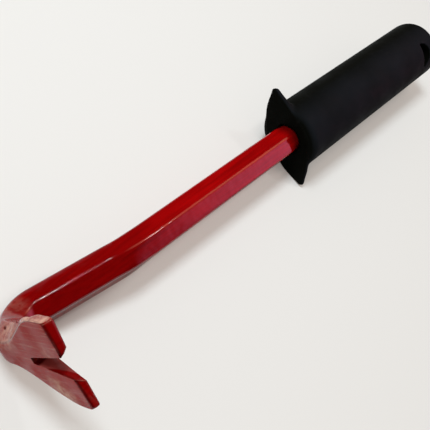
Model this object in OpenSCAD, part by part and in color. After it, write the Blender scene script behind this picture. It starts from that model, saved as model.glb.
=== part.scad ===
// Claw bar of hexagonal steel with a moulded rubber grip, as it lies on a table.
// Tool frame: X along the straight shank towards the grip's end, X = 0 at the guard's face,
// Z towards the claw's tip, Y along its edge. lay() turns the tool frame into the table's frame.

/* [Steel bar] */
// Hexagonal bar across its flats
bar_af = 14; // [12:0.5:18]
// Flat left on each long corner of the bar
bar_ease = 1; // [0.4:0.1:1.6]
// Straight shank from the guard's face to the gooseneck
shank_len = 103; // [50:1:180]
// Turn of the gooseneck, degrees
bend_angle = 12.7; // [4:0.1:20]
// Centre-line radius of the gooseneck
bend_r = 22; // [16:1:60]
// Straight neck between the gooseneck and the heel
neck_len = 34.5; // [15:0.5:60]
// Length of bar hidden inside the grip
tang_len = 86; // [40:1:100]

/* [Claw] */
// Turn of the claw away from the shank's line, degrees
hook_angle = 103.5; // [90:0.5:115]
// Centre-line radius of the heel
heel_r = 12.3; // [11:0.1:20]
// Blade length from the heel to the edge, on its outer face
blade_len = 31.5; // [26:0.1:45]
// Width over both prongs at the tip
blade_w = 34.4; // [26:0.2:46]
// Thickness of the prongs at the tip
tip_t = 2.8; // [2.2:0.1:5]
// Thickness of the blade where it leaves the heel
root_t = 11.2; // [8:0.1:12]
// How far the heel's outer side is drawn in from the bar's flat
heel_draw = 1.2; // [0:0.1:2]
// How far the heel is spread on each side where the blade begins
heel_spread = 1.2; // [0:0.1:2]
// Straight length of blade before it starts to flare
flare_start = 0; // [0:0.5:4]
// Length over which the blade flares to its full width
flare_len = 27; // [18:0.5:28]
// Slant of the ground end face, degrees
edge_slant = 26; // [0:1:50]
// Depth of the nail notch
notch_len = 17.5; // [8:0.1:20]
// Width of the notch at its mouth, on the outer face
notch_w = 8.6; // [6:0.1:12]
// Width of the notch at its closed end
notch_end_w = 2.4; // [2:0.1:4]
// Slope of the notch's walls at its mouth: how far each opens per millimetre of thickness
notch_flank = 0.85; // [0:0.05:1]

/* [Grip] */
// Diameter of the grip
grip_d = 32.8; // [28:0.2:40]
// Length of the grip from the guard's face to its end
grip_len = 123.5; // [110:0.5:150]
// Rounding of the grip's end
grip_end_r = 1; // [0.5:0.5:6]
// Diameter of the grip's flat front face
nose_d = 26.6; // [24:0.2:27.6]
// Length over which the nose grows to the full diameter
nose_len = 4; // [2:0.5:8]
// Length of the guard over its two tips
guard_span = 52.8; // [44:0.2:64]
// Width of the cut-off tips
guard_tip_w = 2.4; // [1:0.2:6]
// Thickness of the guard
guard_t = 2.6; // [1.6:0.1:8]
// Radius of the D-shaped hang hole
hang_r = 6.8; // [5:0.1:8]
// Distance of the hang hole's flat side from the grip's end
hang_from_end = 14.2; // [12:0.1:18]
// Clearance between the bar and the grip's socket, on each side
fit_clear = 0.05; // [0.02:0.01:0.2]

/* [Hidden] */
$fn = 96;

half_af = bar_af / 2;
// The outer face of the blade lies this far from the bar's centre line
back_off = half_af - heel_draw;
grip_r = grip_d / 2;
nose_r = nose_d / 2;
bend_steps = 6;
heel_steps = 18;
blade_steps = 24;
notch_steps = 8;
nose_steps = 8;
end_steps = 6;
// How far cutting bodies reach past what they cut
cut_margin = 5;
// Flat on the blade's long edges, and how much thinner the blade is there
blade_ease = 0.4;
side_t = tip_t - blade_ease;
// How fast the blade thins, and the notch's walls lean, on the way to the tip
thin_power = 1.3;
lean_power = 3;
// One corner of the guard's cut-off tip
guard_tip = [guard_span / 2, guard_tip_w / 2];

// Centre line in the tool's plane, as [distance from the guard, height towards the tip]
function bend_at(a) = [shank_len + bend_r * sin(a), -bend_r * (1 - cos(a))];
bend_end = bend_at(bend_angle);
neck_end = bend_end + neck_len * [cos(bend_angle), -sin(bend_angle)];
heel_centre = neck_end + heel_r * [sin(bend_angle), cos(bend_angle)];
function heel_at(a) = heel_centre + heel_r * [sin(a), -cos(a)];
blade_root = heel_at(hook_angle);

function smooth(x) = let (t = min(1, max(0, x))) t * t * (3 - 2 * t);
function mix(a, b, t) = a * (1 - t) + b * t;

// One side of the eased hexagon, from its back flat to its inner flat, as [y, n]
function hex_side(af, ease) = let (h = af / 2, c = af / sqrt(3)) [
    [c / 2 - ease, -h],
    [c / 2 + ease * cos(60), -h + ease * sin(60)],
    [c - ease * cos(60), -ease * sin(60)],
    [c - ease * cos(60), ease * sin(60)],
    [c / 2 + ease * cos(60), h - ease * sin(60)],
    [c / 2 - ease, h]
];
// A closed outline from one side and its mirror image
function both_sides(side) = concat(side, [for (i = [len(side) - 1:-1:0]) [-side[i][0], side[i][1]]]);

// One side of the flat blade's section at its full width
blade_side = [
    [blade_w / 2 - blade_ease, 0],
    [blade_w / 2, blade_ease],
    [blade_w / 2, 2 * blade_ease],
    [blade_w / 2, side_t - blade_ease],
    [blade_w / 2 - blade_ease, side_t],
    [blade_w / 2 - 2 * blade_ease, 0]
];
// Thickness of the blade at a distance from its root
function blade_t(s) = tip_t + (root_t - tip_t) * pow(max(0, 1 - s / blade_len), thin_power);

// Section of the heel: the bar's hexagon, flattened and spread as the bend goes on
function heel_side(t) = let (hex = hex_side(bar_af, bar_ease),
                             wide = mix(1, 1 + heel_spread / (bar_af / sqrt(3)), smooth(2 * t - 1)),
                             low = mix(half_af, back_off, smooth(t)),
                             high = mix(half_af, root_t - back_off, smooth(t)))
    [for (p = hex) [p[0] * wide, p[1] < 0 ? p[1] * low / half_af : p[1] * high / half_af]];

// Section of the blade: from the heel's last section to the flat plate
function blade_at(s) = let (g = smooth((s - flare_start) / flare_len),
                            root = heel_side(1), top = blade_t(s) - back_off)
    [for (i = [0:5]) [
        mix(root[i][0], blade_side[i][0], g),
        i == 5 ? top
        : i == 4 ? mix(root[4][1] - root[5][1] + top, top - blade_ease, g)
        : mix(root[i][1], blade_side[i][1] - back_off, g)
    ]];

// Places a section's outline at a point of the centre line with a heading
function placed(outline, p, a) = [for (q = outline) [-p[0] + q[1] * sin(a), -q[0], p[1] + q[1] * cos(a)]];

blade_dir = [cos(hook_angle), sin(hook_angle)];
head_rings = concat(
    [for (i = [0:bend_steps]) let (a = bend_angle * i / bend_steps)
        placed(both_sides(heel_side(0)), bend_at(a), -a)],
    [for (i = [0:heel_steps]) let (t = i / heel_steps, a = mix(-bend_angle, hook_angle, t))
        placed(both_sides(heel_side(t)), heel_at(a), a)],
    [for (i = [1:blade_steps]) let (s = (blade_len + cut_margin) * i / blade_steps)
        placed(both_sides(blade_at(s)), blade_root + s * blade_dir, hook_angle)]
);

// Skins a list of rings with the same number of points, with flat ends
module skin(rings) {
    n = len(rings[0]);
    last = len(rings) - 1;
    sides = [for (k = [0:last - 1], i = [0:n - 1]) let (j = (i + 1) % n)
        [k * n + i, (k + 1) * n + i, (k + 1) * n + j, k * n + j]];
    ends = [[for (i = [0:n - 1]) i], [for (i = [n - 1:-1:0]) last * n + i]];
    polyhedron(points = [for (r = rings, p = r) p], faces = concat(sides, ends), convexity = 6);
}

// Straight bar of the eased hexagon along X
module hex_prism(from, to, af, ease) {
    translate([from, 0, 0]) rotate([90, 0, 90])
        linear_extrude(to - from) polygon(both_sides(hex_side(af, ease)));
}

// Frame on the blade's root: X towards the tip, Y along the edge, Z out of the outer face
module on_blade() {
    translate([-blade_root[0], 0, blade_root[1]]) rotate([0, hook_angle - 180, 0]) children();
}

// V-shaped notch, cut square at its closed end, its walls leaning open towards the mouth
module nail_notch() {
    spread = (notch_w - notch_end_w) / 2 / notch_len;
    function lean(x) = notch_flank * pow(x / notch_len, lean_power);
    function half_w(x, depth) = notch_end_w / 2 + spread * x + lean(x) * depth;
    function station(x) = [
        [x, -half_w(x, root_t), -root_t],
        [x, half_w(x, root_t), -root_t],
        [x, half_w(x, -blade_ease), blade_ease],
        [x, -half_w(x, -blade_ease), blade_ease]
    ];
    on_blade() translate([blade_len - notch_len, 0, back_off])
        skin([for (i = [0:notch_steps]) station((notch_len + cut_margin) * i / notch_steps)]);
}

// What lies beyond the slanted end face
module tip_waste() {
    on_blade() translate([blade_len, 0, back_off]) rotate([0, -edge_slant, 0])
        translate([0, -blade_w, -2 * root_t]) cube([4 * cut_margin, 2 * blade_w, 4 * root_t]);
}

module bar_tool() {
    hex_prism(-shank_len, tang_len, bar_af, bar_ease);
    difference() {
        skin(head_rings);
        nail_notch();
        tip_waste();
    }
}

// Half outline of the grip's body, as [radius, distance from the guard's face]
grip_profile = concat(
    [[0, 0]],
    [for (i = [0:nose_steps]) let (a = 90 * i / nose_steps)
        [nose_r + (grip_r - nose_r) * sin(a), nose_len * (1 - cos(a))]],
    [for (i = [0:end_steps]) let (a = 90 * i / end_steps)
        [grip_r - grip_end_r * (1 - cos(a)), grip_len - grip_end_r * (1 - sin(a))]],
    [[0, grip_len]]
);

// Pointed-oval guard: a round middle and two tips tangent to it
module guard_outline() {
    touch = atan2(guard_tip[1], guard_tip[0]) + acos(nose_r / norm(guard_tip));
    flank = nose_r * [cos(touch), sin(touch)];
    circle(nose_r);
    for (s = [-1, 1])
        polygon([[s * guard_tip[0], guard_tip[1]], [s * flank[0], flank[1]],
                 [s * flank[0], -flank[1]], [s * guard_tip[0], -guard_tip[1]]]);
}

// D-shaped hole through the grip, its flat side towards the guard
module hang_hole() {
    translate([grip_len - hang_from_end, 0, 0]) intersection() {
        cylinder(r = hang_r, h = 2 * grip_d, center = true);
        translate([0, -grip_r, -grip_d]) cube([grip_r, grip_d, 2 * grip_d]);
    }
}

module grip_tool() {
    difference() {
        union() {
            rotate([0, 90, 0]) rotate_extrude() polygon(grip_profile);
            rotate([90, 0, 90]) linear_extrude(guard_t) guard_outline();
        }
        hex_prism(-1, tang_len + fit_clear, bar_af + 2 * fit_clear, bar_ease);
        hang_hole();
    }
}

// How the tool lies: on the guard's lower tip, the grip beside it and the heel
lay_roll = asin(grip_r / norm(guard_tip)) - atan2(guard_tip[1], guard_tip[0]);
heel_corner = hex_side(bar_af, bar_ease)[1];
heel_depth = heel_corner[0] * sin(lay_roll) - (heel_at(0)[1] + heel_corner[1]) * cos(lay_roll);
lay_pitch = atan2(grip_r - heel_depth, heel_centre[0]);
// Outermost points along and across the tool, which centre it over the origin
heel_out = heel_centre[0] + heel_r + back_off;
grip_out = grip_len + (grip_r - grip_end_r) * sin(lay_pitch);
edge_at = blade_root + (blade_len + tip_t * tan(edge_slant)) * blade_dir;
edge_up = edge_at[1] + (tip_t - back_off) * cos(hook_angle);
edge_out = blade_w / 2 * cos(lay_roll) + edge_up * sin(lay_roll);
guard_out = guard_tip[0] * cos(lay_roll) + guard_tip[1] * sin(lay_roll);
lay_centre = [(grip_out - heel_out) / 2, (guard_out - edge_out) / 2];

// Turns the tool's frame into the table's: origin at the bottom centre of the whole
module lay() {
    translate([-lay_centre[0], -lay_centre[1], grip_r * cos(lay_pitch)])
        rotate([0, -lay_pitch, 0]) rotate([lay_roll, 0, 0]) children();
}

module claw_bar() {
    color([0.62, 0.03, 0.04]) lay() bar_tool();
}

module rubber_grip() {
    color([0.06, 0.06, 0.065]) lay() grip_tool();
}

claw_bar();
rubber_grip();
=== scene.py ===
"""Looks of a claw bar with a moulded rubber grip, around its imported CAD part.

Shapes are drawn in the tool's own frame, in millimetres: X runs along the shank towards the grip's
end with X = 0 at the guard's face, Z points towards the claw's tip and Y runs along its edge.
LAY turns that frame into the table's frame, in metres.
"""

import math

import bmesh
import bpy
from mathutils import Matrix, Vector
from mathutils.bvhtree import BVHTree


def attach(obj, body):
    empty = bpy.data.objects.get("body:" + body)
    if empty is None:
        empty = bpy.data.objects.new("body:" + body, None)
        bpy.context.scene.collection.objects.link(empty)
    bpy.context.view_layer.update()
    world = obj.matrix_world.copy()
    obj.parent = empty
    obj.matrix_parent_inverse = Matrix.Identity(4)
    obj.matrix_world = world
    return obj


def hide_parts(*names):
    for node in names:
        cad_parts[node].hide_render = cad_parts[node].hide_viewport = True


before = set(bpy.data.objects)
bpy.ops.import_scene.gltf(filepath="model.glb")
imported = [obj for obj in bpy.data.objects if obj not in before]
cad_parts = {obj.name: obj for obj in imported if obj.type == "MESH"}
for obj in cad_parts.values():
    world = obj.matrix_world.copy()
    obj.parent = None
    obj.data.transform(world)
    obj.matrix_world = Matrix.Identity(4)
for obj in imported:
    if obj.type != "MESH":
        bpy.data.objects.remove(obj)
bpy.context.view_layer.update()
MM = 0.001

# ---------------------------------------------------------------- image points and camera

W, H = 430, 430
LONG = max(W, H)

# x, y of things in the photograph
POINTS = {
    "grip_top": (410.0, 24.0),
    "guard_upper_tip": (274.9, 89.5),
    "guard_lower_tip": (300.5, 183.0),
    "shank_ridge_end": (288.5, 137.0),
    "claw_side_corner": (40.5, 323.5),
    "notch_mouth_a": (60.5, 359.0),
    "notch_mouth_b": (75.0, 381.0),
    "notch_end": (32.5, 359.5),
    "claw_lowest": (92.4, 409.4),
    "heel_pit": (5.0, 328.0),
    "scuff_on_prong": (64.0, 392.0),
    "scuff_at_notch": (46.0, 353.0),
    "shoulder_highlight": (8.0, 333.0),
    "side_highlight": (33.0, 319.0),
    "heel_wear": (13.0, 308.0),
}

CAMERA_AT = Vector((-0.17092, -0.02483, 0.22055))
CAMERA_AIM = Vector((-0.04064, -0.00117, 0.015))
CAMERA_ROLL = math.radians(40.892)
LENS = 46.62
SENSOR = 36.0
CLIP_FROM = 0.01
CLIP_TO = 20.0
# Where along a ray that misses its surface the nearest place is looked for, in metres
SEARCH_FROM = 0.1
SEARCH_STEP = 0.001
SEARCH_STEPS = 400


def add_camera():
    data = bpy.data.cameras.new("camera")
    data.sensor_fit = "AUTO"
    data.sensor_width = SENSOR
    data.lens = LENS
    data.clip_start = CLIP_FROM
    data.clip_end = CLIP_TO
    camera = bpy.data.objects.new("camera", data)
    aim = (CAMERA_AIM - CAMERA_AT).to_track_quat("-Z", "Y").to_matrix().to_4x4()
    camera.matrix_world = Matrix.Translation(CAMERA_AT) @ aim @ Matrix.Rotation(CAMERA_ROLL, 4, "Z")
    bpy.context.scene.collection.objects.link(camera)
    bpy.context.scene.camera = camera
    bpy.context.view_layer.update()
    return camera


camera = add_camera()


def ray(x, y):
    """Start and direction of the camera's ray through a point of the image."""
    shift_x, shift_y = camera.data.shift_x, camera.data.shift_y
    local = Vector((x - W / 2 + shift_x * LONG, H / 2 - y + shift_y * LONG, -LONG * LENS / SENSOR))
    return camera.matrix_world.translation, (camera.matrix_world.to_3x3() @ local).normalized()


def seen_at(point):
    """Where a point of the table's frame shows in the image."""
    local = camera.matrix_world.inverted() @ point
    scale = LONG * LENS / SENSOR / -local.z
    return (W / 2 - camera.data.shift_x * LONG + local.x * scale,
            H / 2 + camera.data.shift_y * LONG - local.y * scale)


def tree_of(piece):
    mesh = piece.data
    return BVHTree.FromPolygons([piece.matrix_world @ v.co for v in mesh.vertices],
                                [tuple(p.vertices) for p in mesh.polygons])


def place(name, tree):
    """The place on a surface under a named image point, or the one nearest to its ray."""
    start, way = ray(*POINTS[name])
    spot = tree.ray_cast(start, way)[0]
    if spot is None:
        steps = [start + way * (SEARCH_FROM + SEARCH_STEP * i) for i in range(SEARCH_STEPS)]
        spot = min((tree.find_nearest(p) for p in steps), key=lambda hit: hit[3])[0]
    return spot


# ---------------------------------------------------------------- the tool's dimensions, as in its source

BAR_AF = 14.0
BAR_EASE = 1.0
SHANK_LEN = 103.0
BEND_ANGLE = math.radians(12.7)
BEND_R = 22.0
NECK_LEN = 34.5
TANG_LEN = 86.0

HOOK_ANGLE = math.radians(103.5)
HEEL_R = 12.3
BLADE_LEN = 31.5
BLADE_W = 34.4
TIP_T = 2.8
ROOT_T = 11.2
HEEL_DRAW = 1.2
HEEL_SPREAD = 1.2
FLARE_LEN = 27.0
EDGE_SLANT = math.radians(26)
NOTCH_LEN = 17.5
NOTCH_W = 8.6
NOTCH_END_W = 2.4
NOTCH_FLANK = 0.85
THIN_POWER = 1.3

GRIP_D = 32.8
GRIP_LEN = 123.5
GRIP_END_R = 1.0
NOSE_D = 26.6
NOSE_LEN = 4.0
GUARD_SPAN = 52.8
GUARD_TIP_W = 2.4
HANG_R = 6.8
HANG_FROM_END = 14.2

HALF_AF = BAR_AF / 2
HEX_C = BAR_AF / math.sqrt(3)
BACK_OFF = HALF_AF - HEEL_DRAW
NOTCH_AT = BLADE_LEN - NOTCH_LEN
GRIP_R = GRIP_D / 2
NOSE_R = NOSE_D / 2
QUARTER = math.pi / 2
SIXTH = math.pi / 3


def mix(a, b, t):
    return a * (1 - t) + b * t


def smooth(x):
    t = min(1.0, max(0.0, x))
    return t * t * (3 - 2 * t)


# Centre line of the bar in the tool's plane, as (distance from the guard, height towards the tip)
def bend_at(a):
    return Vector((SHANK_LEN + BEND_R * math.sin(a), -BEND_R * (1 - math.cos(a))))


BEND_END = bend_at(BEND_ANGLE)
NECK_END = BEND_END + NECK_LEN * Vector((math.cos(BEND_ANGLE), -math.sin(BEND_ANGLE)))
HEEL_CENTRE = NECK_END + HEEL_R * Vector((math.sin(BEND_ANGLE), math.cos(BEND_ANGLE)))


def heel_at(a):
    return HEEL_CENTRE + HEEL_R * Vector((math.sin(a), -math.cos(a)))


BLADE_ROOT = heel_at(HOOK_ANGLE)
BLADE_DIR = Vector((math.cos(HOOK_ANGLE), math.sin(HOOK_ANGLE)))


def lay_matrix():
    """How the tool lies: on the guard's lower tip, the grip beside it and the heel."""
    tip = Vector((GUARD_SPAN / 2, GUARD_TIP_W / 2))
    roll = math.asin(GRIP_R / tip.length) - math.atan2(tip.y, tip.x)
    corner = Vector((HEX_C / 2 + BAR_EASE / 2, -HALF_AF + BAR_EASE * math.sin(SIXTH)))
    heel_depth = corner.x * math.sin(roll) - (heel_at(0).y + corner.y) * math.cos(roll)
    pitch = math.atan2(GRIP_R - heel_depth, HEEL_CENTRE.x)
    heel_out = HEEL_CENTRE.x + HEEL_R + BACK_OFF
    grip_out = GRIP_LEN + (GRIP_R - GRIP_END_R) * math.sin(pitch)
    edge_at = BLADE_ROOT + (BLADE_LEN + TIP_T * math.tan(EDGE_SLANT)) * BLADE_DIR
    edge_up = edge_at.y + (TIP_T - BACK_OFF) * math.cos(HOOK_ANGLE)
    edge_out = BLADE_W / 2 * math.cos(roll) + edge_up * math.sin(roll)
    guard_out = tip.x * math.cos(roll) + tip.y * math.sin(roll)
    centre = Vector(((grip_out - heel_out) / 2, (guard_out - edge_out) / 2))
    moved = Matrix.Translation((-centre.x, -centre.y, GRIP_R * math.cos(pitch)))
    turned = Matrix.Rotation(-pitch, 4, "Y") @ Matrix.Rotation(roll, 4, "X")
    return Matrix.Scale(MM, 4) @ moved @ turned


LAY = lay_matrix()


# ---------------------------------------------------------------- mesh helpers

def ring(bm, points):
    return [bm.verts.new(p) for p in points]


def band(bm, a, b, closed=True):
    """Quads between two rows of vertices."""
    count = len(a)
    for i in range(count if closed else count - 1):
        j = (i + 1) % count
        bm.faces.new((a[i], a[j], b[j], b[i]))


def bands(bm, rows, closed=True):
    for a, b in zip(rows, rows[1:]):
        band(bm, a, b, closed)


def fan(bm, row, point):
    """Closes a ring of vertices at a point."""
    middle = bm.verts.new(point)
    for i, v in enumerate(row):
        bm.faces.new((v, row[(i + 1) % len(row)], middle))


def row_between(a, b, segments):
    """Points from a up to, but without, b."""
    return [a.lerp(b, i / segments) for i in range(segments)]


def arc_between(a, corner, b, segments):
    """Points of a rounded corner from a up to, but without, b."""
    return [a.lerp(corner, t).lerp(corner.lerp(b, t), t) for t in (i / segments for i in range(segments))]


def new_object(name, bm):
    """A mesh object in the scene from a bmesh, which is then freed."""
    mesh = bpy.data.meshes.new(name)
    bm.to_mesh(mesh)
    bm.free()
    made = bpy.data.objects.new(name, mesh)
    bpy.context.scene.collection.objects.link(made)
    return made


def solid_object(name, bm):
    bmesh.ops.recalc_face_normals(bm, faces=bm.faces)
    return new_object(name, bm)


def apply_modifiers(piece):
    bpy.context.view_layer.update()
    made = bpy.data.meshes.new_from_object(piece.evaluated_get(bpy.context.evaluated_depsgraph_get()))
    made.name = piece.name
    piece.modifiers.clear()
    piece.data = made


# ---------------------------------------------------------------- sections of the steel bar

ARC_SEGMENTS = 4
FACE_SEGMENTS = 3
STRIP_SEGMENTS = 4
WALL_SEGMENTS = 10
# Half width of the strip along the bar's inner face, which narrows to the notch's closed end
STRIP_HALF = 2.0
# The shank is worked round where it enters the grip, and the hidden tang is round
ROUND_LEN = 5.5
ROUND_R = 7.0
# The neck is twisted a little against the shank, over a run round the shank's end, and the heel
# turns back by this share of its length
TWIST = math.radians(10.5)
TWIST_RUN = 22.0
UNTWIST_AT = 0.5

EDGE_R = 0.45
NOTCH_EDGE_R = 0.25
NOTCH_EDGE_RUN = 2.0
FLANK_POWER = 3
# Rounding of a prong's outer end corner, and the sine of the angle that it turns through
END_CORNER_R = 1.2
END_CORNER_SINE = 0.92
END_FILLET = 0.3
# The slanted end face is rounded over towards the inner face and runs a little askew
EDGE_ROUNDING = 2.2
EDGE_SKEW = 0.02
OTHER_EDGE_SKEW = 0.06
# Near the root the blade's sides are thinner than its middle, and past SIDE_FROM they change until
# one side is thicker and the other thinner than the tip
SIDE_DROP = 2.8
SIDE_TIP_T = 3.6
OTHER_SIDE_TIP_T = 2.5
SIDE_FROM = 20.0
SIDE_RUN = 6.0
# Where the side's middle corner begins, stands and ends, in thicknesses of the tip
MIDDLE_CORNER = (0.35, 0.5, 0.6)
# The blade's outline leans towards +Y, and straightens towards the tip, one side more than the other
LEAN = 1.3
LEAN_RUN = 12.0
UPRIGHT_FROM = 18.0
UPRIGHT_RUN = 12.0
UPRIGHT_SHARE = 0.6
OTHER_UPRIGHT_SHARE = 1.0


def corner_set(af, ease):
    """The three eased corners on one side of the hexagon, each as its start, corner and end (y, n)."""
    half, c = af / 2, af / math.sqrt(3)
    rise = ease * math.sin(SIXTH)
    return [
        (Vector((c / 2 - ease, -half)), Vector((c / 2, -half)), Vector((c / 2 + ease / 2, -half + rise))),
        (Vector((c - ease / 2, -rise)), Vector((c, 0)), Vector((c - ease / 2, rise))),
        (Vector((c / 2 + ease / 2, half - rise)), Vector((c / 2, half)), Vector((c / 2 - ease, half))),
    ]


HEXAGON = corner_set(BAR_AF, BAR_EASE)


def heel_corners(t):
    """The corners of the heel's section: the hexagon, flattened and spread as the bend goes on."""
    wide = mix(1, 1 + HEEL_SPREAD / HEX_C, smooth(2 * t - 1))
    low = mix(HALF_AF, BACK_OFF, smooth(t)) / HALF_AF
    high = mix(HALF_AF, ROOT_T - BACK_OFF, smooth(t)) / HALF_AF
    return [tuple(Vector((p.x * wide, p.y * (low if p.y < 0 else high))) for p in corner)
            for corner in HEXAGON]


def blade_t(s):
    return TIP_T + (ROOT_T - TIP_T) * max(0.0, 1 - s / BLADE_LEN) ** THIN_POWER


def half_width(s):
    """Half width of the blade's edge line, rounded off where the end face begins."""
    into = min(1.0, max(0.0, (s - (BLADE_LEN - END_CORNER_R)) / END_CORNER_R))
    return BLADE_W / 2 - END_CORNER_R * (1 - math.sqrt(1 - (END_CORNER_SINE * into) ** 2))


def blade_corners(s, side_t=SIDE_TIP_T):
    """The corners of the blade's section, from the heel's last section to the flat plate."""
    g = smooth(s / FLARE_LEN)
    side = half_width(s)
    back, top = -BACK_OFF, blade_t(s) - BACK_OFF
    side_top = mix(top - SIDE_DROP, side_t - BACK_OFF, smooth((s - SIDE_FROM) / SIDE_RUN))
    flat = [
        (Vector((side - EDGE_R, back)), Vector((side, back)), Vector((side, back + EDGE_R))),
        tuple(Vector((side, back + share * TIP_T)) for share in MIDDLE_CORNER),
        (Vector((side, side_top - EDGE_R)), Vector((side, side_top)), Vector((side - 2 * EDGE_R, side_top))),
    ]
    root = heel_corners(1)
    # The hexagon's inner flat follows the blade as it thins
    drop = top - (ROOT_T - BACK_OFF)
    corners = []
    for i in range(3):
        follow = Vector((0, drop if i == 2 else 0))
        corners.append(tuple(mix(r + follow, f, g) for r, f in zip(root[i], flat[i])))
    return corners


def side_points(corners, outer_from, inner_to):
    """One side of a section from a point of its outer face round to a point of its inner face."""
    points = []
    start = outer_from
    for begin, corner, end in corners:
        points += row_between(start, begin, FACE_SEGMENTS) + arc_between(begin, corner, end, ARC_SEGMENTS)
        start = end
    return points + row_between(start, inner_to, FACE_SEGMENTS) + [inner_to]


# How many points each side of a section has
SIDE_COUNT = len(side_points(HEXAGON, Vector((0, 0)), Vector((0, 0))))


def mirrored(points):
    return [Vector((-p.x, p.y)) for p in points]


def full_section(corners, strip_inner=STRIP_HALF, top=None):
    """A closed section: one side, the inner face's middle strip, the other side, the outer strip."""
    outer = Vector((NOTCH_END_W / 2, corners[0][0].y))
    inner = Vector((strip_inner, corners[2][2].y if top is None else top))
    side = side_points(corners, outer, inner)
    inner_strip = row_between(inner, Vector((-inner.x, inner.y)), STRIP_SEGMENTS)[1:]
    outer_strip = row_between(Vector((-outer.x, outer.y)), outer, STRIP_SEGMENTS)[1:]
    return side + inner_strip + mirrored(side)[::-1] + outer_strip


def twisted_section(corners, twist):
    c, s = math.cos(twist), math.sin(twist)
    return [Vector((p.x * c + p.y * s, p.y * c - p.x * s)) for p in full_section(corners)]


def round_section(share):
    """The hexagon worked round by a share."""
    return [p.lerp(p.normalized() * ROUND_R, share) for p in full_section(HEXAGON)]


def notch_half(s, depth):
    """Half width of the notch at a distance along the blade and a depth below the outer face."""
    along_notch = s - NOTCH_AT
    flank = NOTCH_FLANK * (along_notch / NOTCH_LEN) ** FLANK_POWER
    return NOTCH_END_W / 2 + (NOTCH_W - NOTCH_END_W) / 2 * along_notch / NOTCH_LEN + flank * depth


def prong_section(s, side_t, rounding):
    """One prong's closed section: its side as in a full section, then the notch's wall."""
    corners = blade_corners(s, side_t)
    outer_y, inner_y = corners[0][0].y, blade_t(s) - BACK_OFF
    outer = Vector((notch_half(s, 0), outer_y))
    inner = Vector((notch_half(s, inner_y - outer_y), inner_y))
    wall = (outer - inner).normalized()
    across = Vector((1, 0))
    side = side_points(corners, outer + across * rounding, inner + across * rounding)
    arc_in = arc_between(side[-1], inner, inner + wall * rounding, ARC_SEGMENTS)[1:]
    arc_out = arc_between(outer - wall * rounding, outer, side[0], ARC_SEGMENTS)
    middle = row_between(inner + wall * rounding, outer - wall * rounding, WALL_SEGMENTS - 2 * ARC_SEGMENTS)
    return side + arc_in + middle + arc_out


def inset(points, distance):
    """A closed outline moved inwards by a distance."""
    count = len(points)
    area = sum(points[i - 1].x * points[i].y - points[i].x * points[i - 1].y for i in range(count))
    turn = 1 if area > 0 else -1
    moved = []
    for i in range(count):
        way = points[(i + 1) % count] - points[i - 1]
        moved.append(points[i] + Vector((-way.y, way.x)).normalized() * distance * turn)
    return moved


# ---------------------------------------------------------------- the steel bar

ROUND_STEPS = 6
SHANK_STEPS = 36
BEND_STEPS = 8
NECK_STEPS = 8
HEEL_STEPS = 40
ROOT_STEPS = 14
PRONG_STEPS = 16
FILLET_STEPS = 4
# Distances of the last sections before the end face, as shares of the end corners' rounding
END_STATIONS = (1.0, 0.75, 0.5, 0.3, 0.15, 0.05)
# Vertices closer than this are made one
WELD = 0.001
SHARP_ANGLE = math.radians(40)


def put(point, centre, heading, ahead=0.0):
    """A section's point (y, n) in the tool's frame, at a place of the centre line."""
    c, s = math.cos(heading), math.sin(heading)
    return Vector((-centre.x - ahead * c + point.y * s, point.x, centre.y + ahead * s + point.y * c))


def slant_ahead(s, y, n):
    """How far a point of a section runs ahead so that the last section lies in the slanted end."""
    ramp = smooth((s - NOTCH_AT) / NOTCH_LEN)
    depth = min(1.0, (n + BACK_OFF) / TIP_T)
    rounded = 1 - (1 - depth) ** EDGE_ROUNDING
    skew = EDGE_SKEW if y > 0 else OTHER_EDGE_SKEW
    return TIP_T * math.tan(EDGE_SLANT) * rounded * ramp - skew * y * ramp


def put_on_blade(section, s, ahead=0.0):
    """A section's points in the tool's frame, at a distance along the leaning, slanted blade."""
    lean = LEAN * smooth(s / LEAN_RUN)
    upright = smooth((s - UPRIGHT_FROM) / UPRIGHT_RUN)
    points = []
    for p in section:
        share = UPRIGHT_SHARE if p.x > 0 else OTHER_UPRIGHT_SHARE
        leant = Vector((p.x + lean * (1 - share * upright) * (p.x / half_width(s)) ** 2, p.y))
        points.append(put(leant, BLADE_ROOT, HOOK_ANGLE, s + ahead + slant_ahead(s, leant.x, leant.y)))
    return points


def twist_at(past_shank):
    """The bar's twist at a distance past the end of the shank."""
    return TWIST * smooth(past_shank / TWIST_RUN + 0.5)


def bar_stations():
    """Sections from the tang's end to the end of the heel, each with its centre and heading."""
    for x in (-TANG_LEN, 0.0):
        yield round_section(1), Vector((x, 0)), 0
    for i in range(1, ROUND_STEPS + 1):
        yield round_section(smooth(1 - i / ROUND_STEPS)), Vector((ROUND_LEN * i / ROUND_STEPS, 0)), 0
    for i in range(1, SHANK_STEPS + 1):
        x = mix(ROUND_LEN, SHANK_LEN, i / SHANK_STEPS)
        yield twisted_section(HEXAGON, twist_at(x - SHANK_LEN)), Vector((x, 0)), 0
    for i in range(1, BEND_STEPS + 1):
        a = BEND_ANGLE * i / BEND_STEPS
        yield twisted_section(HEXAGON, twist_at(BEND_R * a)), bend_at(a), -a
    for i in range(1, NECK_STEPS):
        t = i / NECK_STEPS
        twist = twist_at(BEND_R * BEND_ANGLE + NECK_LEN * t)
        yield twisted_section(HEXAGON, twist), BEND_END.lerp(NECK_END, t), -BEND_ANGLE
    for i in range(HEEL_STEPS + 1):
        t = i / HEEL_STEPS
        a = mix(-BEND_ANGLE, HOOK_ANGLE, t)
        yield twisted_section(heel_corners(t), TWIST * (1 - smooth(t / UNTWIST_AT))), heel_at(a), a


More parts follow.
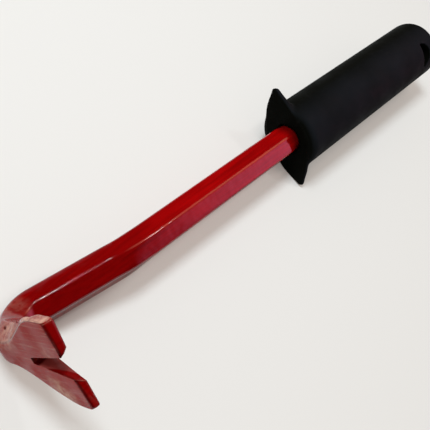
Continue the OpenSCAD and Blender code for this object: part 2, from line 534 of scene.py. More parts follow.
def root_stations():
    """Sections from the heel to the notch's closed end, each with its distance along the blade."""
    for i in range(1, ROOT_STEPS + 1):
        s = NOTCH_AT * i / ROOT_STEPS
        strip = mix(STRIP_HALF, NOTCH_END_W / 2, smooth(i / ROOT_STEPS))
        yield full_section(blade_corners(s), strip, blade_t(s) - BACK_OFF), s


def prong_stations(side_t):
    """Outlines along a prong, each with its distance along the blade and how far it is set ahead."""
    near_end = [BLADE_LEN - END_CORNER_R * share for share in END_STATIONS]
    even = [NOTCH_AT + (near_end[0] - NOTCH_AT) * i / PRONG_STEPS for i in range(1, PRONG_STEPS)]
    for s in even + near_end:
        yield prong_section(s, side_t, NOTCH_EDGE_R * smooth((s - NOTCH_AT) / NOTCH_EDGE_RUN)), s, 0.0
    end = prong_section(BLADE_LEN, side_t, NOTCH_EDGE_R)
    for i in range(FILLET_STEPS + 1):
        a = QUARTER * i / FILLET_STEPS
        yield inset(end, END_FILLET * (1 - math.cos(a))), BLADE_LEN, END_FILLET * (math.sin(a) - 1)


def add_notch_end(bm, last):
    """Closes the notch at the last ring, and returns the points down each of its two walls."""
    inner = last[SIDE_COUNT - 1:SIDE_COUNT + STRIP_SEGMENTS]
    outer = [last[-i] for i in range(STRIP_SEGMENTS + 1)]
    columns = []
    for top, bottom in zip(inner, outer):
        between = [bm.verts.new(top.co.lerp(bottom.co, i / WALL_SEGMENTS)) for i in range(1, WALL_SEGMENTS)]
        columns.append([top] + between + [bottom])
    bands(bm, columns, closed=False)
    return columns[0][1:-1], columns[-1][1:-1]


def add_prong(bm, root, sign, side_t):
    """One prong, from the ring round its root to its end face."""
    rows = [root]
    for outline, s, ahead in prong_stations(side_t):
        section = [Vector((p.x * sign, p.y)) for p in outline]
        rows.append(ring(bm, put_on_blade(section, s, ahead)))
    bands(bm, rows)
    bm.faces.new(rows[-1])


def bar_mesh():
    bm = bmesh.new()
    rows = [ring(bm, [put(p, centre, heading) for p in section])
            for section, centre, heading in bar_stations()]
    rows += [ring(bm, put_on_blade(section, s)) for section, s in root_stations()]
    bands(bm, rows)
    fan(bm, rows[0], (TANG_LEN, 0, 0))
    last = rows[-1]
    wall, other_wall = add_notch_end(bm, last)
    other_from = SIDE_COUNT + STRIP_SEGMENTS - 1
    add_prong(bm, last[:SIDE_COUNT] + wall, 1, SIDE_TIP_T)
    add_prong(bm, last[other_from:other_from + SIDE_COUNT][::-1] + other_wall, -1, OTHER_SIDE_TIP_T)
    bmesh.ops.remove_doubles(bm, verts=bm.verts, dist=WELD)
    return bm


bar = solid_object("forged_bar", bar_mesh())
bar.data.transform(LAY)
bar.data.shade_smooth()
bar.data.set_sharp_from_angle(angle=SHARP_ANGLE)


# ---------------------------------------------------------------- the rubber grip

# A wing of the guard: where its back begins at the rim and where it ends on the body
WING_T = 1.9
WING_ROOT = 6.0
# The guard's edge starts to be a wing this far inside the grip's radius, and is all wing a run further out
WING_FROM = 1.5
WING_RUN = 6.0
# Rounding of the guard's front edge on the wings and on the nose
RIM_R = 0.8
NOSE_RIM_R = 0.5
TIP_SEGMENTS = 4
FLANK_SEGMENTS = 26
ROUND_SEGMENTS = 8
FLANK_SWELL = 0.8
# The guard is not quite even: its upper wing is turned and the flanks on one side are fuller
UPPER_TURN = math.radians(2.6)
FULLER_UPPER = 1.0
FULLER_LOWER = 1.7
FULLER_POWER = 0.6
# The socket's mouth: how deep its corner is eased, and how far out the front face starts
MOUTH_DEPTH = 0.5
MOUTH_GAP = 0.3
BODY_FROM = WING_ROOT + 0.6
BODY_TO = GRIP_LEN - GRIP_END_R
FACE_STEPS = 8
BACK_STEPS = 16
BODY_STEPS = 24
HOLE_STEPS = 32
# Turns of the rings round the front edge and round the grip's end, degrees
FRONT_TURNS = (90, 67, 45, 22, 0)
END_TURNS = (22, 45, 67, 90)
# Radii of the rings on the flat end, as shares of its own
END_RINGS = (0.66, 0.33)
# The remeshing and smoothing that round the moulding's edges
MELT_VOXEL = 0.5
MELT_EASE = 0.5
MELT_REPEATS = 6


def guard_spokes():
    """Angles all round the grip's axis, from the middle of a tip, and the guard's radius at each."""
    tip = Vector((GUARD_SPAN / 2, GUARD_TIP_W / 2))
    tip_angle = math.atan2(tip.y, tip.x)
    touch = tip_angle + math.acos(NOSE_R / tip.length)
    reach = NOSE_R * math.tan(touch - tip_angle)
    quarter = []
    for i in range(TIP_SEGMENTS):
        a = tip_angle * i / TIP_SEGMENTS
        quarter.append((a, tip.x / math.cos(a)))
    for i in range(FLANK_SEGMENTS):
        t = i / FLANK_SEGMENTS
        back = math.atan(reach * (1 - t) / NOSE_R)
        swell = FLANK_SWELL * math.sin(math.pi * t) ** 2
        quarter.append((touch - back, NOSE_R / math.cos(back) + swell))
    for i in range(ROUND_SEGMENTS + 1):
        quarter.append((mix(touch, QUARTER, i / ROUND_SEGMENTS), NOSE_R))
    half = quarter + [(math.pi - a, r) for a, r in quarter[-2::-1]]
    spokes = []
    for angle, r in half[:-1] + [(math.pi + a, r) for a, r in half[:-1]]:
        share = max(0.0, (r - NOSE_R) / (tip.x - NOSE_R))
        upper = math.cos(angle) > 0
        if math.sin(angle) < 0:
            fuller = FULLER_UPPER if upper else FULLER_LOWER
            r += fuller * math.sin(math.pi * min(1.0, share) ** FULLER_POWER)
        spokes.append((angle + (UPPER_TURN * smooth(share) if upper else 0.0), r))
    return spokes


def hex_radius(angle):
    """Radius of the bar's eased hexagon at an angle round its axis."""
    off = angle % SIXTH
    flat = HALF_AF / math.cos(off - SIXTH / 2)
    corner = (HEX_C - BAR_EASE / 2) / math.cos(min(off, SIXTH - off))
    return min(flat, corner)


# Each kind of ring is a function of a spoke's angle and guard radius, and gives x and a radius there
def socket_ring(x):
    return lambda angle, edge: (x, hex_radius(angle))


def round_ring(x, r):
    return lambda angle, edge: (x, r)


def front_edge(turn):
    """A ring of the guard's rounded front edge."""
    def at(angle, edge):
        rim = mix(NOSE_RIM_R, RIM_R, smooth((edge - NOSE_R) / (GRIP_R - NOSE_R)))
        return rim * (1 - math.sin(turn)), edge - rim * (1 - math.cos(turn))
    return at


def front_face(share):
    """A ring of the flat front, from the socket's mouth out to the rounded edge."""
    def at(angle, edge):
        return 0.0, mix(hex_radius(angle) + MOUTH_GAP, front_edge(QUARTER)(angle, edge)[1] - RIM_R, share)
    return at


def back_of_guard(turn):
    """A ring from the guard's rim to the grip's full diameter: a wing's back, or the nose."""
    def at(angle, edge):
        wing = smooth((edge - GRIP_R + WING_FROM) / WING_RUN)
        begin, end = mix(NOSE_RIM_R, WING_T, wing), mix(NOSE_LEN, WING_ROOT, wing)
        back, inward = 1 - math.cos(turn), math.sin(turn)
        even = turn / QUARTER
        return mix(begin, end, mix(back, even, wing)), mix(edge, GRIP_R, mix(inward, even, wing))
    return at


def grip_stations():
    """The grip's rings, from the socket's end over the front and the body to the closed end."""
    yield socket_ring(TANG_LEN)
    yield socket_ring(MOUTH_DEPTH)
    for i in range(FACE_STEPS + 1):
        yield front_face(i / FACE_STEPS)
    for degrees in FRONT_TURNS:
        yield front_edge(math.radians(degrees))
    for i in range(1, BACK_STEPS + 1):
        yield back_of_guard(QUARTER * i / BACK_STEPS)
    for i in range(BODY_STEPS + 1):
        yield round_ring(mix(BODY_FROM, BODY_TO, i / BODY_STEPS), GRIP_R)
    for degrees in END_TURNS:
        a = math.radians(degrees)
        yield round_ring(BODY_TO + GRIP_END_R * math.sin(a), GRIP_R - GRIP_END_R * (1 - math.cos(a)))
    for share in END_RINGS:
        yield round_ring(GRIP_LEN, (GRIP_R - GRIP_END_R) * share)


def grip_mesh():
    bm = bmesh.new()
    spokes = guard_spokes()
    rows = []
    for station in grip_stations():
        placed = [(angle, *station(angle, edge)) for angle, edge in spokes]
        rows.append(ring(bm, [(x, r * math.cos(angle), r * math.sin(angle)) for angle, x, r in placed]))
    bands(bm, rows)
    fan(bm, rows[0], (TANG_LEN, 0, 0))
    fan(bm, rows[-1], (GRIP_LEN, 0, 0))
    return bm


def hole_mesh():
    """The D-shaped hang hole's prism."""
    bm = bmesh.new()
    flat_x = GRIP_LEN - HANG_FROM_END
    turns = [math.pi * i / HOLE_STEPS for i in range(HOLE_STEPS + 1)]
    outline = [(flat_x + HANG_R * math.sin(a), -HANG_R * math.cos(a)) for a in turns]
    rows = [ring(bm, [(x, y, z) for x, y in outline]) for z in (-GRIP_D, GRIP_D)]
    band(bm, *rows)
    for row in rows:
        bm.faces.new(row)
    return bm


def cut_and_melt(piece, cutter):
    """Cuts the hang hole, then rounds every edge as a moulding's."""
    cut = piece.modifiers.new("hole", "BOOLEAN")
    cut.object = cutter
    cut.solver = "EXACT"
    melt = piece.modifiers.new("melt", "REMESH")
    melt.mode = "VOXEL"
    melt.voxel_size = MELT_VOXEL
    melt.use_smooth_shade = True
    ease = piece.modifiers.new("ease", "SMOOTH")
    ease.factor = MELT_EASE
    ease.iterations = MELT_REPEATS
    apply_modifiers(piece)


cutter = solid_object("hole_cutter", hole_mesh())
grip = solid_object("moulded_grip", grip_mesh())
cut_and_melt(grip, cutter)
grip.data.transform(LAY)
bpy.data.objects.remove(cutter)


# ---------------------------------------------------------------- places on the bar, for its paint

# Scuffs and painted highlights at image points: reach in metres, strength, and how much distance counts
# along X, Y and Z; the shoulder's is a painted highlight, the rest are scuffs
SCUFFS_AND_HIGHLIGHTS = {
    "shoulder_highlight": (0.0075, 0.75, (1, 1, 0.8)),
    "scuff_on_prong": (0.005, 1.0, (1, 0.6, 0.9)),
    "scuff_at_notch": (0.004, 0.35, (1, 1, 1)),
    "heel_wear": (0.007, 0.14, (1, 1, 1)),
}
# Where on the blade the rim's painted dark reflection and the notch band's painted shade end: distance along
# it and depth
RIM_END = (26.0, 0.6)
BAND_END = (26.0, 2.0)
# How much the notch band's painted shade widens for each length along the blade
BAND_SLOPE = 0.31
NOTCH_MIDDLE_SHARE = 0.6


def blade_place(s, depth):
    """A place on the blade's middle line, below its outer face, in the table's frame."""
    return LAY @ put(Vector((0, depth - BACK_OFF)), BLADE_ROOT, HOOK_ANGLE, s)


bar_tree, grip_tree = tree_of(bar), tree_of(grip)
spots = {name: place(name, bar_tree) for name in (*SCUFFS_AND_HIGHLIGHTS, "side_highlight", "heel_pit")}
EDGE_WAY = (LAY.to_3x3() @ Vector((0, 1, 0))).normalized()
ALONG_WAY = (LAY.to_3x3() @ Vector((-BLADE_DIR.x, 0, BLADE_DIR.y))).normalized()
DEPTH_WAY = EDGE_WAY.cross(ALONG_WAY)
BAND_WAY = DEPTH_WAY - BAND_SLOPE * ALONG_WAY
BAND_FROM = blade_place(*BAND_END)
RIM_FROM = blade_place(*RIM_END)
HEEL_MIDDLE = LAY @ put(Vector((0, 0)), heel_at(0), 0)
GUARD_MIDDLE = LAY @ Vector((0, 0, 0))
NOTCH_MIDDLE = blade_place(mix(NOTCH_AT, BLADE_LEN, NOTCH_MIDDLE_SHARE), 0)


# ---------------------------------------------------------------- node helpers

def new_material(name):
    material = bpy.data.materials.new(name)
    material.use_nodes = True
    tree = material.node_tree
    return material, tree, tree.nodes["Principled BSDF"]


def object_coords(tree):
    return tree.nodes.new("ShaderNodeTexCoord").outputs["Object"]


def noise_of(tree, coords, scale, detail=3.0, stretch=(1, 1, 1), roughness=0.55):
    """A noise texture over given coordinates, finer along an axis the more that is stretched."""
    mapping = tree.nodes.new("ShaderNodeMapping")
    mapping.inputs["Scale"].default_value = stretch
    texture = tree.nodes.new("ShaderNodeTexNoise")
    texture.inputs["Scale"].default_value = scale
    texture.inputs["Detail"].default_value = detail
    texture.inputs["Roughness"].default_value = roughness
    tree.links.new(coords, mapping.inputs["Vector"])
    tree.links.new(mapping.outputs["Vector"], texture.inputs["Vector"])
    return texture.outputs["Fac"]


def remap(tree, value, cut, to=(0, 1)):
    """A value between two cuts, turned into the range between two others and held there."""
    node = tree.nodes.new("ShaderNodeMapRange")
    node.clamp = True
    for name, number in zip(("From Min", "From Max", "To Min", "To Max"), (*cut, *to)):
        node.inputs[name].default_value = number
    tree.links.new(value, node.inputs["Value"])
    return node.outputs["Result"]


def pattern(tree, coords, scale, cut, to=(0, 1), **noise):
    """A noise between two cuts, turned into a range."""
    return remap(tree, noise_of(tree, coords, scale, **noise), cut, to)


def blend_colour(tree, factor, a, b):
    """Mixes two colours, each a value or a socket, by a socket."""
    node = tree.nodes.new("ShaderNodeMix")
    node.data_type = "RGBA"
    tree.links.new(factor, node.inputs["Factor"])
    for name, colour in (("A", a), ("B", b)):
        if isinstance(colour, tuple):
            node.inputs[name].default_value = (*colour, 1)
        else:
            tree.links.new(colour, node.inputs[name])
    return node.outputs["Result"]


def maths(tree, operation, first, *others):
    """One value from several, each a number or a socket, taken from left to right."""
    result = first
    for other in others:
        node = tree.nodes.new("ShaderNodeMath")
        node.operation = operation
        for socket, value in zip(node.inputs, (result, other)):
            if isinstance(value, (int, float)):
                socket.default_value = value
            else:
                tree.links.new(value, socket)
        result = node.outputs["Value"]
    return result


def times(tree, *values):
    return maths(tree, "MULTIPLY", *values)


def most(tree, *values):
    return maths(tree, "MAXIMUM", *values)


def opposite(tree, mask):
    return maths(tree, "SUBTRACT", 1.0, mask)


def vector_maths(tree, operation, vector, other=(0, 0, 0)):
    """A vector node's output for a socket and a fixed vector."""
    node = tree.nodes.new("ShaderNodeVectorMath")
    node.operation = operation
    node.inputs[1].default_value = other
    tree.links.new(vector, node.inputs[0])
    return node.outputs["Value" if operation in ("DOT_PRODUCT", "LENGTH") else "Vector"]


def near(tree, coords, spot, reach, stretch=(1, 1, 1), core=0.35):
    """A mask, 1 at a place and over a core of its reach, and 0 beyond it."""
    offset = vector_maths(tree, "SUBTRACT", coords, spot)
    distance = vector_maths(tree, "LENGTH", vector_maths(tree, "MULTIPLY", offset, stretch))
    return remap(tree, distance, (core * reach, reach), (1, 0))


def facing(tree, way, cut):
    """A mask of the faces that look along a direction of the table's frame."""
    normal = tree.nodes.new("ShaderNodeTexCoord").outputs["Normal"]
    return remap(tree, vector_maths(tree, "DOT_PRODUCT", normal, way), cut)


def along(tree, coords, way, start):
    """How far a place lies from a start along a direction, in metres."""
    return vector_maths(tree, "DOT_PRODUCT", vector_maths(tree, "SUBTRACT", coords, start), way)


def bump(tree, height, distance, below=None):
    node = tree.nodes.new("ShaderNodeBump")
    node.inputs["Strength"].default_value = 1.0
    node.inputs["Distance"].default_value = distance
    tree.links.new(height, node.inputs["Height"])
    if below:
        tree.links.new(below, node.inputs["Normal"])
    return node.outputs["Normal"]


# ---------------------------------------------------------------- red paint

RED = (0.33, 0.0010, 0.0012)
LIGHT_RED = (0.40, 0.0014, 0.0016)
STREAK_RED = (0.21, 0.0006, 0.0006)
# Painted shade: SHADED_RED darkens the paint round the heel and neck
SHADED_RED = (0.10, 0.0004, 0.0004)
# Painted reflection: a paler, pinker red on the blade's outer face for the pale floor mirrored in it
BLADE_REFLECTION_RED = (0.44, 0.024, 0.018)
# Painted dark reflection along the rim of the side, end and notch faces by the outer face
RIM_DARK_REFLECTION = (0.05, 0.0006, 0.0006)
# Painted shade deep in the notch, turning to a painted pinkish reflection on its wall towards the mouth
NOTCH_END_SHADE_RED = (0.045, 0.0008, 0.0008)
NOTCH_WALL_REFLECTION_RED = (0.26, 0.044, 0.038)
# Painted shade on the narrow band of the notch's wall by the outer face
BAND_SHADE_RED = (0.14, 0.001, 0.001)
# Painted shade on the bar's rounded end where it enters the guard
COLLAR_SHADE_RED = (0.04, 0.0008, 0.0008)
# Pale worn paint, also used as a painted highlight on the claw's side and shoulder
CHALKY_WEAR_AND_HIGHLIGHT = (0.60, 0.32, 0.235)
PIT_RED = (0.10, 0.012, 0.009)
# Reaches of the masks round their places, in metres
HEEL_REACH = 0.075
HEAD_REACH = 0.04
NOTCH_REACH = 0.013
SIDE_REACH = 0.011
COLLAR_SHADE_REACH = 0.007
PIT_REACH = 0.0009
# Blurs of the limits of the rim's painted dark reflection and the notch band's painted shade
RIM_BLUR = 0.0004
BAND_BLUR = 0.0002
# The notch's painted shade at its closed end turns into its wall's painted reflection between these
# distances along the blade from NOTCH_MIDDLE
NOTCH_END_CUT = (-0.0085, -0.0075)
# How fast the scratches vary along the blade, along its edge and through it, per metre
SCRATCH_RATES = (60.0, 1000.0, 100.0)
# Heights of the forged steel's waves, the paint's orange peel and the pit, in metres
FORGED_HEIGHT = 0.00022
PEEL_HEIGHT = 0.000012
PIT_DEPTH = 0.0003
COAT_ROUGHNESS = 0.06
ROUGHER_WHERE_WORN = 0.2
# What share of its gloss the paint loses under each mask
GLOSS_LOST = {"worn_and_highlit": 0.85, "in_notch": 0.75, "shaded_band": 0.95, "underneath": 0.6, "pit": 1.0}


def scratches(tree, coords):
    """Fine lines that run along the blade."""
    on_blade = tree.nodes.new("ShaderNodeCombineXYZ")
    for socket, way, rate in zip(on_blade.inputs, (ALONG_WAY, EDGE_WAY, DEPTH_WAY), SCRATCH_RATES):
        tree.links.new(times(tree, along(tree, coords, way, NOTCH_MIDDLE), rate), socket)
    return pattern(tree, on_blade.outputs["Vector"], scale=1, cut=(0.52, 0.68), to=(0, 0.4), detail=4)


def wear(tree, coords, head, blade_face):
    """Where paint is scuffed or carries a painted highlight: scuffs at image points, painted highlights at
    the shoulder and on the blade's side, wear along edges and in scratches.
    """
    worn_and_highlit = [times(tree, near(tree, coords, spots[name], reach, stretch), strength)
            for name, (reach, strength, stretch) in SCUFFS_AND_HIGHLIGHTS.items()]
    # Painted highlight on the claw's side round its image point, on faces that look along the edge
    side = facing(tree, EDGE_WAY, cut=(0.72, 0.85))
    worn_and_highlit.append(times(tree, near(tree, coords, spots["side_highlight"], SIDE_REACH, core=0.7), side))
    pointiness = tree.nodes.new("ShaderNodeNewGeometry").outputs["Pointiness"]
    worn_and_highlit.append(times(tree, remap(tree, pointiness, cut=(0.52, 0.6), to=(0, 0.6)), head))
    worn_and_highlit.append(times(tree, scratches(tree, coords), blade_face))
    grit = pattern(tree, coords, scale=420, cut=(0.38, 0.62), to=(0.2, 1), detail=6)
    return times(tree, most(tree, *worn_and_highlit), grit)


def paint_masks(tree, coords):
    """Where the paint is of another kind or carries painted shade, reflection or highlight, as masks by
    name.
    """
    head = near(tree, coords, NOTCH_MIDDLE, HEAD_REACH)
    outer_face = facing(tree, -DEPTH_WAY, cut=(0.85, 0.95))
    blade_face = times(tree, outer_face, head)
    # Side, end and notch faces within a little depth of the outer face, where the rim's painted dark
    # reflection goes
    by_rim = remap(tree, along(tree, coords, DEPTH_WAY, RIM_FROM), cut=(0, RIM_BLUR), to=(1, 0))
    by_band = remap(tree, along(tree, coords, BAND_WAY, BAND_FROM), cut=(-BAND_BLUR, BAND_BLUR), to=(1, 0))
    at_notch = near(tree, coords, NOTCH_MIDDLE, NOTCH_REACH, core=0.7)
    in_notch = times(tree, at_notch, facing(tree, EDGE_WAY, cut=(0.35, 0.6)))
    shaded_band = times(tree, in_notch, by_band)
    return {
        "heel": near(tree, coords, HEEL_MIDDLE, HEEL_REACH, core=0.5),
        "outer_face": outer_face,
        "blade_face": blade_face,
        "rim": times(tree, by_rim, head, opposite(tree, outer_face)),
        "in_notch": in_notch,
        "notch_shade_and_reflection": maths(tree, "SUBTRACT", in_notch, shaded_band),
        "shaded_band": shaded_band,
        # painted shade where the bar enters the guard
        "collar": near(tree, coords, GUARD_MIDDLE, COLLAR_SHADE_REACH, stretch=(1, 0.3, 0.3)),
        "worn_and_highlit": wear(tree, coords, head, blade_face),
        "pit": near(tree, coords, spots["heel_pit"], PIT_REACH),
        "underneath": facing(tree, (0, 0, -1), cut=(0.1, 0.5)),
    }


def paint_colour(tree, coords, masks):
    """Mottled red with darker streaks along the bar, and over it the other kinds of paint with painted
    shade, reflections and highlights.
    """
    mottle = pattern(tree, coords, scale=55, cut=(0.35, 0.65))
    streaks = pattern(tree, coords, scale=30, cut=(0.4, 0.7), to=(0, 0.75), stretch=(1, 25, 25))
    colour = blend_colour(tree, streaks, blend_colour(tree, mottle, RED, LIGHT_RED), STREAK_RED)
    to_mouth = remap(tree, along(tree, coords, ALONG_WAY, NOTCH_MIDDLE), NOTCH_END_CUT)
    # Each layer's mask, strength and colour, from the lowest up
    layers = (
        # painted shade round the heel
        ("heel", 0.5, SHADED_RED),
        # painted reflection on the blade's outer face
        ("blade_face", 0.6, BLADE_REFLECTION_RED),
        # painted dark reflection along the rim
        ("rim", 0.75, RIM_DARK_REFLECTION),
        # painted shade and painted reflection in the notch
        ("notch_shade_and_reflection", 0.8, blend_colour(tree, to_mouth, NOTCH_END_SHADE_RED, NOTCH_WALL_REFLECTION_RED)),
        # painted shade on the notch's band
        ("shaded_band", 0.5, BAND_SHADE_RED),
        # painted shade where the bar enters the guard
        ("collar", 0.75, COLLAR_SHADE_RED),
        # scuffs and scratches, with painted highlights on the claw's side and shoulder
        ("worn_and_highlit", 1, CHALKY_WEAR_AND_HIGHLIGHT),
        ("pit", 1, PIT_RED),
    )
    for name, strength, tone in layers:
        colour = blend_colour(tree, times(tree, masks[name], strength), colour, tone)
    return colour


def gloss_left(tree, coords, masks):
    """How much of its gloss the paint has, lost in patches on the outer face and under some masks."""
    patches = pattern(tree, coords, scale=150, cut=(0.35, 0.65), to=(0.32, 0.72))
    lost = [times(tree, masks[name], share) for name, share in GLOSS_LOST.items()]
    return opposite(tree, most(tree, times(tree, masks["outer_face"], patches), *lost))


def paint():
    """Glossy red paint on forged steel, scuffed and chipped at the claw, with painted shade, reflections and
    highlights.
    """
    material, tree, shader = new_material("red_paint")
    coords = object_coords(tree)
    masks = paint_masks(tree, coords)
    tree.links.new(paint_colour(tree, coords, masks), shader.inputs["Base Color"])
    tree.links.new(gloss_left(tree, coords, masks), shader.inputs["Coat Weight"])
    dull = pattern(tree, coords, scale=90, cut=(0.3, 0.7), to=(0.28, 0.42))
    rougher = times(tree, masks["worn_and_highlit"], ROUGHER_WHERE_WORN)
    tree.links.new(maths(tree, "ADD", dull, rougher), shader.inputs["Roughness"])
    shader.inputs["Coat Roughness"].default_value = COAT_ROUGHNESS
    shader.inputs["Specular IOR Level"].default_value = 0.0
    forged = bump(tree, noise_of(tree, coords, scale=120, detail=2), FORGED_HEIGHT)
    peel = bump(tree, noise_of(tree, coords, scale=900, detail=2), PEEL_HEIGHT, forged)
    dent = bump(tree, opposite(tree, masks["pit"]), PIT_DEPTH, peel)
    for socket in ("Normal", "Coat Normal"):
        tree.links.new(dent, shader.inputs[socket])
    return material


# ---------------------------------------------------------------- black rubber

RUBBER_BLACK = (0.0030, 0.0033, 0.0022)
# The grey is painted light on one side of the rubber
RUBBER_LIT_GREY = (0.0112, 0.0128, 0.0160)
DUST_GREY = (0.012, 0.012, 0.012)
# The way that the rubber's painted light faces: it is greyer on that side
LIT_SIDE_WAY = (0, -0.55, 0.83)
RUBBER_SPECULAR = 0.015
# Heights of the rubber's fine grain and its waves, in metres
GRAIN_HEIGHT = 0.00004
WAVE_HEIGHT = 0.00012


def rubber():
    """Matt black rubber with painted light, greyer on the side that faces up and towards -Y, with specks of
    dust.
    """
    material, tree, shader = new_material("black_rubber")
    coords = object_coords(tree)
    cloud = pattern(tree, coords, scale=35, cut=(0.35, 0.7), to=(0.6, 1))
    # Painted light: greyer on the side that faces up and towards -Y
    lit_side = times(tree, facing(tree, LIT_SIDE_WAY, cut=(0.35, 0.95)), cloud)
    dust = pattern(tree, coords, scale=260, cut=(0.55, 0.8), to=(0, 0.5), detail=8, roughness=0.7)
    colour = blend_colour(tree, lit_side, RUBBER_BLACK, RUBBER_LIT_GREY)
    tree.links.new(blend_colour(tree, dust, colour, DUST_GREY), shader.inputs["Base Color"])
    dull = pattern(tree, coords, scale=120, cut=(0.3, 0.7), to=(0.5, 0.68))
    tree.links.new(dull, shader.inputs["Roughness"])
    shader.inputs["Specular IOR Level"].default_value = RUBBER_SPECULAR
    grain = bump(tree, noise_of(tree, coords, scale=1700, detail=2), GRAIN_HEIGHT)
    wave = bump(tree, noise_of(tree, coords, scale=160, detail=2), WAVE_HEIGHT, grain)
    tree.links.new(wave, shader.inputs["Normal"])
    return material


for piece, material in ((bar, paint()), (grip, rubber())):
    piece.data.materials.clear()
    piece.data.materials.append(material)

for piece, node, slot in ((bar, "claw_bar", "red_paint"), (grip, "rubber_grip", "black_rubber")):
    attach(piece, "root")
    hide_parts(node)

# ---------------------------------------------------------------- floor

FLOOR_HALF = 3.0
FLOOR_DROP = 0.0001
FLOOR_COLOUR = (0.86, 0.845, 0.81, 1)
FLOOR_ROUGHNESS = 0.9
GLOW_COLOUR = (0.89, 0.80, 0.735)
GLOW_SHARE = 0.37
# Painted contact shadow: the glow fades where the object is this close over the floor, as the floor is less
# open there
CLOSE_OVER = 0.012
OPENNESS_CUT = (0.35, 0.8)
OPENNESS_SAMPLES = 16
# It fades to a reddish dark beside the bar, a painted shadow with painted bounce light from the red paint,
# and to grey beside the grip, and turns between two x
BAR_SHADOW_TINT = (0.06, 0.02, 0.015)
GRIP_SHADOW_TINT = (0.52, 0.50, 0.47)
DARK_TURNS = (-0.01, 0.03)


def floor_glow(tree):
    """A pale glow that only the camera sees, with a painted contact shadow close under the object."""
    openness = tree.nodes.new("ShaderNodeAmbientOcclusion")
    openness.samples = OPENNESS_SAMPLES
    openness.inputs["Distance"].default_value = CLOSE_OVER
    split = tree.nodes.new("ShaderNodeSeparateXYZ")
    tree.links.new(object_coords(tree), split.inputs["Vector"])
    dark = blend_colour(tree, remap(tree, split.outputs["X"], DARK_TURNS), BAR_SHADOW_TINT, GRIP_SHADOW_TINT)
    glow = tree.nodes.new("ShaderNodeEmission")
    colour = blend_colour(tree, remap(tree, openness.outputs["AO"], OPENNESS_CUT), dark, GLOW_COLOUR)
    tree.links.new(colour, glow.inputs["Color"])
    return glow.outputs["Emission"]


def floor_material():
    material, tree, shader = new_material("pale_floor")
    shader.inputs["Base Color"].default_value = FLOOR_COLOUR
    shader.inputs["Roughness"].default_value = FLOOR_ROUGHNESS
    shader.inputs["Specular IOR Level"].default_value = 0.0
    to_camera = tree.nodes.new("ShaderNodeLightPath").outputs["Is Camera Ray"]
    share = times(tree, to_camera, GLOW_SHARE)
    blend = tree.nodes.new("ShaderNodeMixShader")
    for source, socket in zip((share, shader.outputs["BSDF"], floor_glow(tree)), blend.inputs):
        tree.links.new(source, socket)
    tree.links.new(blend.outputs["Shader"], tree.nodes["Material Output"].inputs["Surface"])
    return material


def add_floor():
    bm = bmesh.new()
    corners = ((-1, -1), (1, -1), (1, 1), (-1, 1))
    bm.faces.new(ring(bm, [(x * FLOOR_HALF, y * FLOOR_HALF, 0) for x, y in corners]))
    floor = new_object("floor", bm)
    floor.location.z = -FLOOR_DROP
    floor.data.materials.append(floor_material())


# ---------------------------------------------------------------- lamps and room

# The main light makes no reflections, and the two glints make nothing else
LAMPS = (
    dict(name="main_light", at=(-0.12, 0.35, 0.88), aim=(0, 0, 0), size=0.24, power=6.15,
         colour=(0.91, 1.04, 1.12), glossy=False),
    dict(name="second_light", at=(0.46, -0.08, 1.20), aim=(0, 0, 0), size=0.08, power=1.1,
         colour=(0.94, 1.0, 1.02)),
    dict(name="neck_glint_a", at=(-0.244, 0.24, 1.18), aim=(-0.12, 0, 0), size=0.04, power=1.3,
         diffuse=False),
    dict(name="neck_glint_b", at=(-0.13, 0.24, 1.18), aim=(-0.10, 0, 0), size=0.035, power=0.8,
         diffuse=False),
)
# Reflections show a faint horizon under a dark ceiling, between these two heights of the ray
HORIZON = (0.42, 0.36, 0.42)
CEILING = (0.004, 0.005, 0.008)
CEILING_CUT = (0.02, 0.16)
# Glows that only reflections show: direction, cosine of their reach, colour.
# One low and purple on the grip's side, one high and warm over the grip's end
REFLECTED_GLOWS = (
    ((0.72, -0.60, 0.34), 0.86, (3.4, 0.75, 1.25)),
    ((0.62, -0.05, 0.78), 0.80, (4.0, 1.5, 1.0)),
)
# The fill light is stronger from +Y
FILL_FROM_NEAR = (0.20, 0.183, 0.171)
FILL_FROM_FAR = (0.49, 0.447, 0.419)


def add_light(name, at, aim, size, power, colour=(1, 1, 1), glossy=True, diffuse=True):
    data = bpy.data.lights.new(name, "AREA")
    data.size = size
    data.energy = power
    data.color = colour
    lamp = bpy.data.objects.new(name, data)
    lamp.location = at
    lamp.rotation_euler = (Vector(aim) - Vector(at)).to_track_quat("-Z", "Y").to_euler()
    lamp.visible_glossy = glossy
    lamp.visible_diffuse = diffuse
    bpy.context.scene.collection.objects.link(lamp)


def add_room():
    """A world of fill light, with its own dark look in reflections."""
    world = bpy.data.worlds.new("room")
    bpy.context.scene.world = world
    world.use_nodes = True
    tree = world.node_tree
    outward = tree.nodes.new("ShaderNodeTexCoord").outputs["Generated"]
    split = tree.nodes.new("ShaderNodeSeparateXYZ")
    tree.links.new(outward, split.inputs["Vector"])
    reflected = blend_colour(tree, remap(tree, split.outputs["Z"], CEILING_CUT), HORIZON, CEILING)
    for way, edge, colour in REFLECTED_GLOWS:
        toward = vector_maths(tree, "DOT_PRODUCT", outward, Vector(way).normalized())
        glow = remap(tree, toward, cut=(edge, 1))
        reflected = blend_colour(tree, times(tree, glow, glow), reflected, colour)
    fill = blend_colour(tree, remap(tree, split.outputs["Y"], cut=(-1, 1)), FILL_FROM_NEAR, FILL_FROM_FAR)
    glossy = tree.nodes.new("ShaderNodeLightPath").outputs["Is Glossy Ray"]
    seen = blend_colour(tree, glossy, fill, reflected)
    tree.links.new(seen, tree.nodes["Background"].inputs["Color"])


add_floor()
for lamp in LAMPS:
    add_light(**lamp)
add_room()
bpy.context.scene.view_settings.view_transform = "Standard"

# ---------------------------------------------------------------- where the named points show, against their places in the image

# How far from a guard tip's end its vertices are still the tip's, and a corner's rounding
TIP_DEPTH = 2.0
CORNER_BACK = 0.5
# How much nearer than a vertex something may be hit before it hides that vertex, in metres
HIDE_GAP = 0.5 * MM


def on_claw(p):
    return p.x < -SHANK_LEN


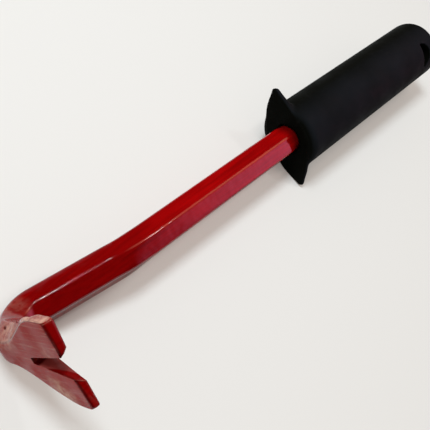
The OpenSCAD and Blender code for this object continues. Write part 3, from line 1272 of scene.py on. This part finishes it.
def blade_spot(s, y):
    """A point of the blade's outer face, in the tool's frame."""
    return put(Vector((y, -BACK_OFF)), BLADE_ROOT, HOOK_ANGLE, s)


def nearest_to(spot):
    return lambda local, shown: (local - spot).length


def highest(local, shown):
    return shown[1]


def lowest(local, shown):
    return -shown[1]


RIDGE_END = Vector((-ROUND_LEN, HEX_C / 2, HALF_AF))
# What each point marks: a piece, which of its vertices count, and what is least for the one meant
FEATURES = {
    "grip_top": (grip, lambda p: p.x > TANG_LEN, highest),
    "guard_upper_tip": (grip, lambda p: p.x < WING_T and p.y > GUARD_SPAN / 2 - TIP_DEPTH, highest),
    "guard_lower_tip": (grip, lambda p: p.x < WING_T and p.y < TIP_DEPTH - GUARD_SPAN / 2, lowest),
    "shank_ridge_end": (bar, lambda p: p.x > -2 * ROUND_LEN, nearest_to(RIDGE_END)),
    "claw_side_corner": (bar, on_claw, nearest_to(blade_spot(BLADE_LEN - CORNER_BACK, BLADE_W / 2))),
    "notch_mouth_a": (bar, on_claw, nearest_to(blade_spot(BLADE_LEN, NOTCH_W / 2))),
    "notch_mouth_b": (bar, on_claw, nearest_to(blade_spot(BLADE_LEN, -NOTCH_W / 2))),
    "notch_end": (bar, on_claw, nearest_to(blade_spot(NOTCH_AT, NOTCH_END_W / 2))),
    "claw_lowest": (bar, lambda p: True, lowest),
}


def is_seen(spot):
    start = camera.matrix_world.translation
    way = spot - start
    hits = [tree.ray_cast(start, way.normalized())[3] for tree in (bar_tree, grip_tree)]
    return all(hit is None or hit > way.length - HIDE_GAP for hit in hits)


def shown_feature(piece, counts, least):
    """Where the meant vertex of a piece shows, of those that the camera sees."""
    to_tool = LAY.inverted()
    best = None
    for vertex in piece.data.vertices:
        local = to_tool @ vertex.co
        if counts(local):
            shown = seen_at(vertex.co)
            value = least(local, shown)
            if (best is None or value < best[0]) and is_seen(vertex.co):
                best = (value, shown)
    return best[1]


shown_at = {name: shown_feature(*feature) for name, feature in FEATURES.items()}
shown_at.update({name: seen_at(spot) for name, spot in spots.items()})
{name: [round(a - b, 2) for a, b in zip(shown_at[name], POINTS[name])] for name in POINTS}
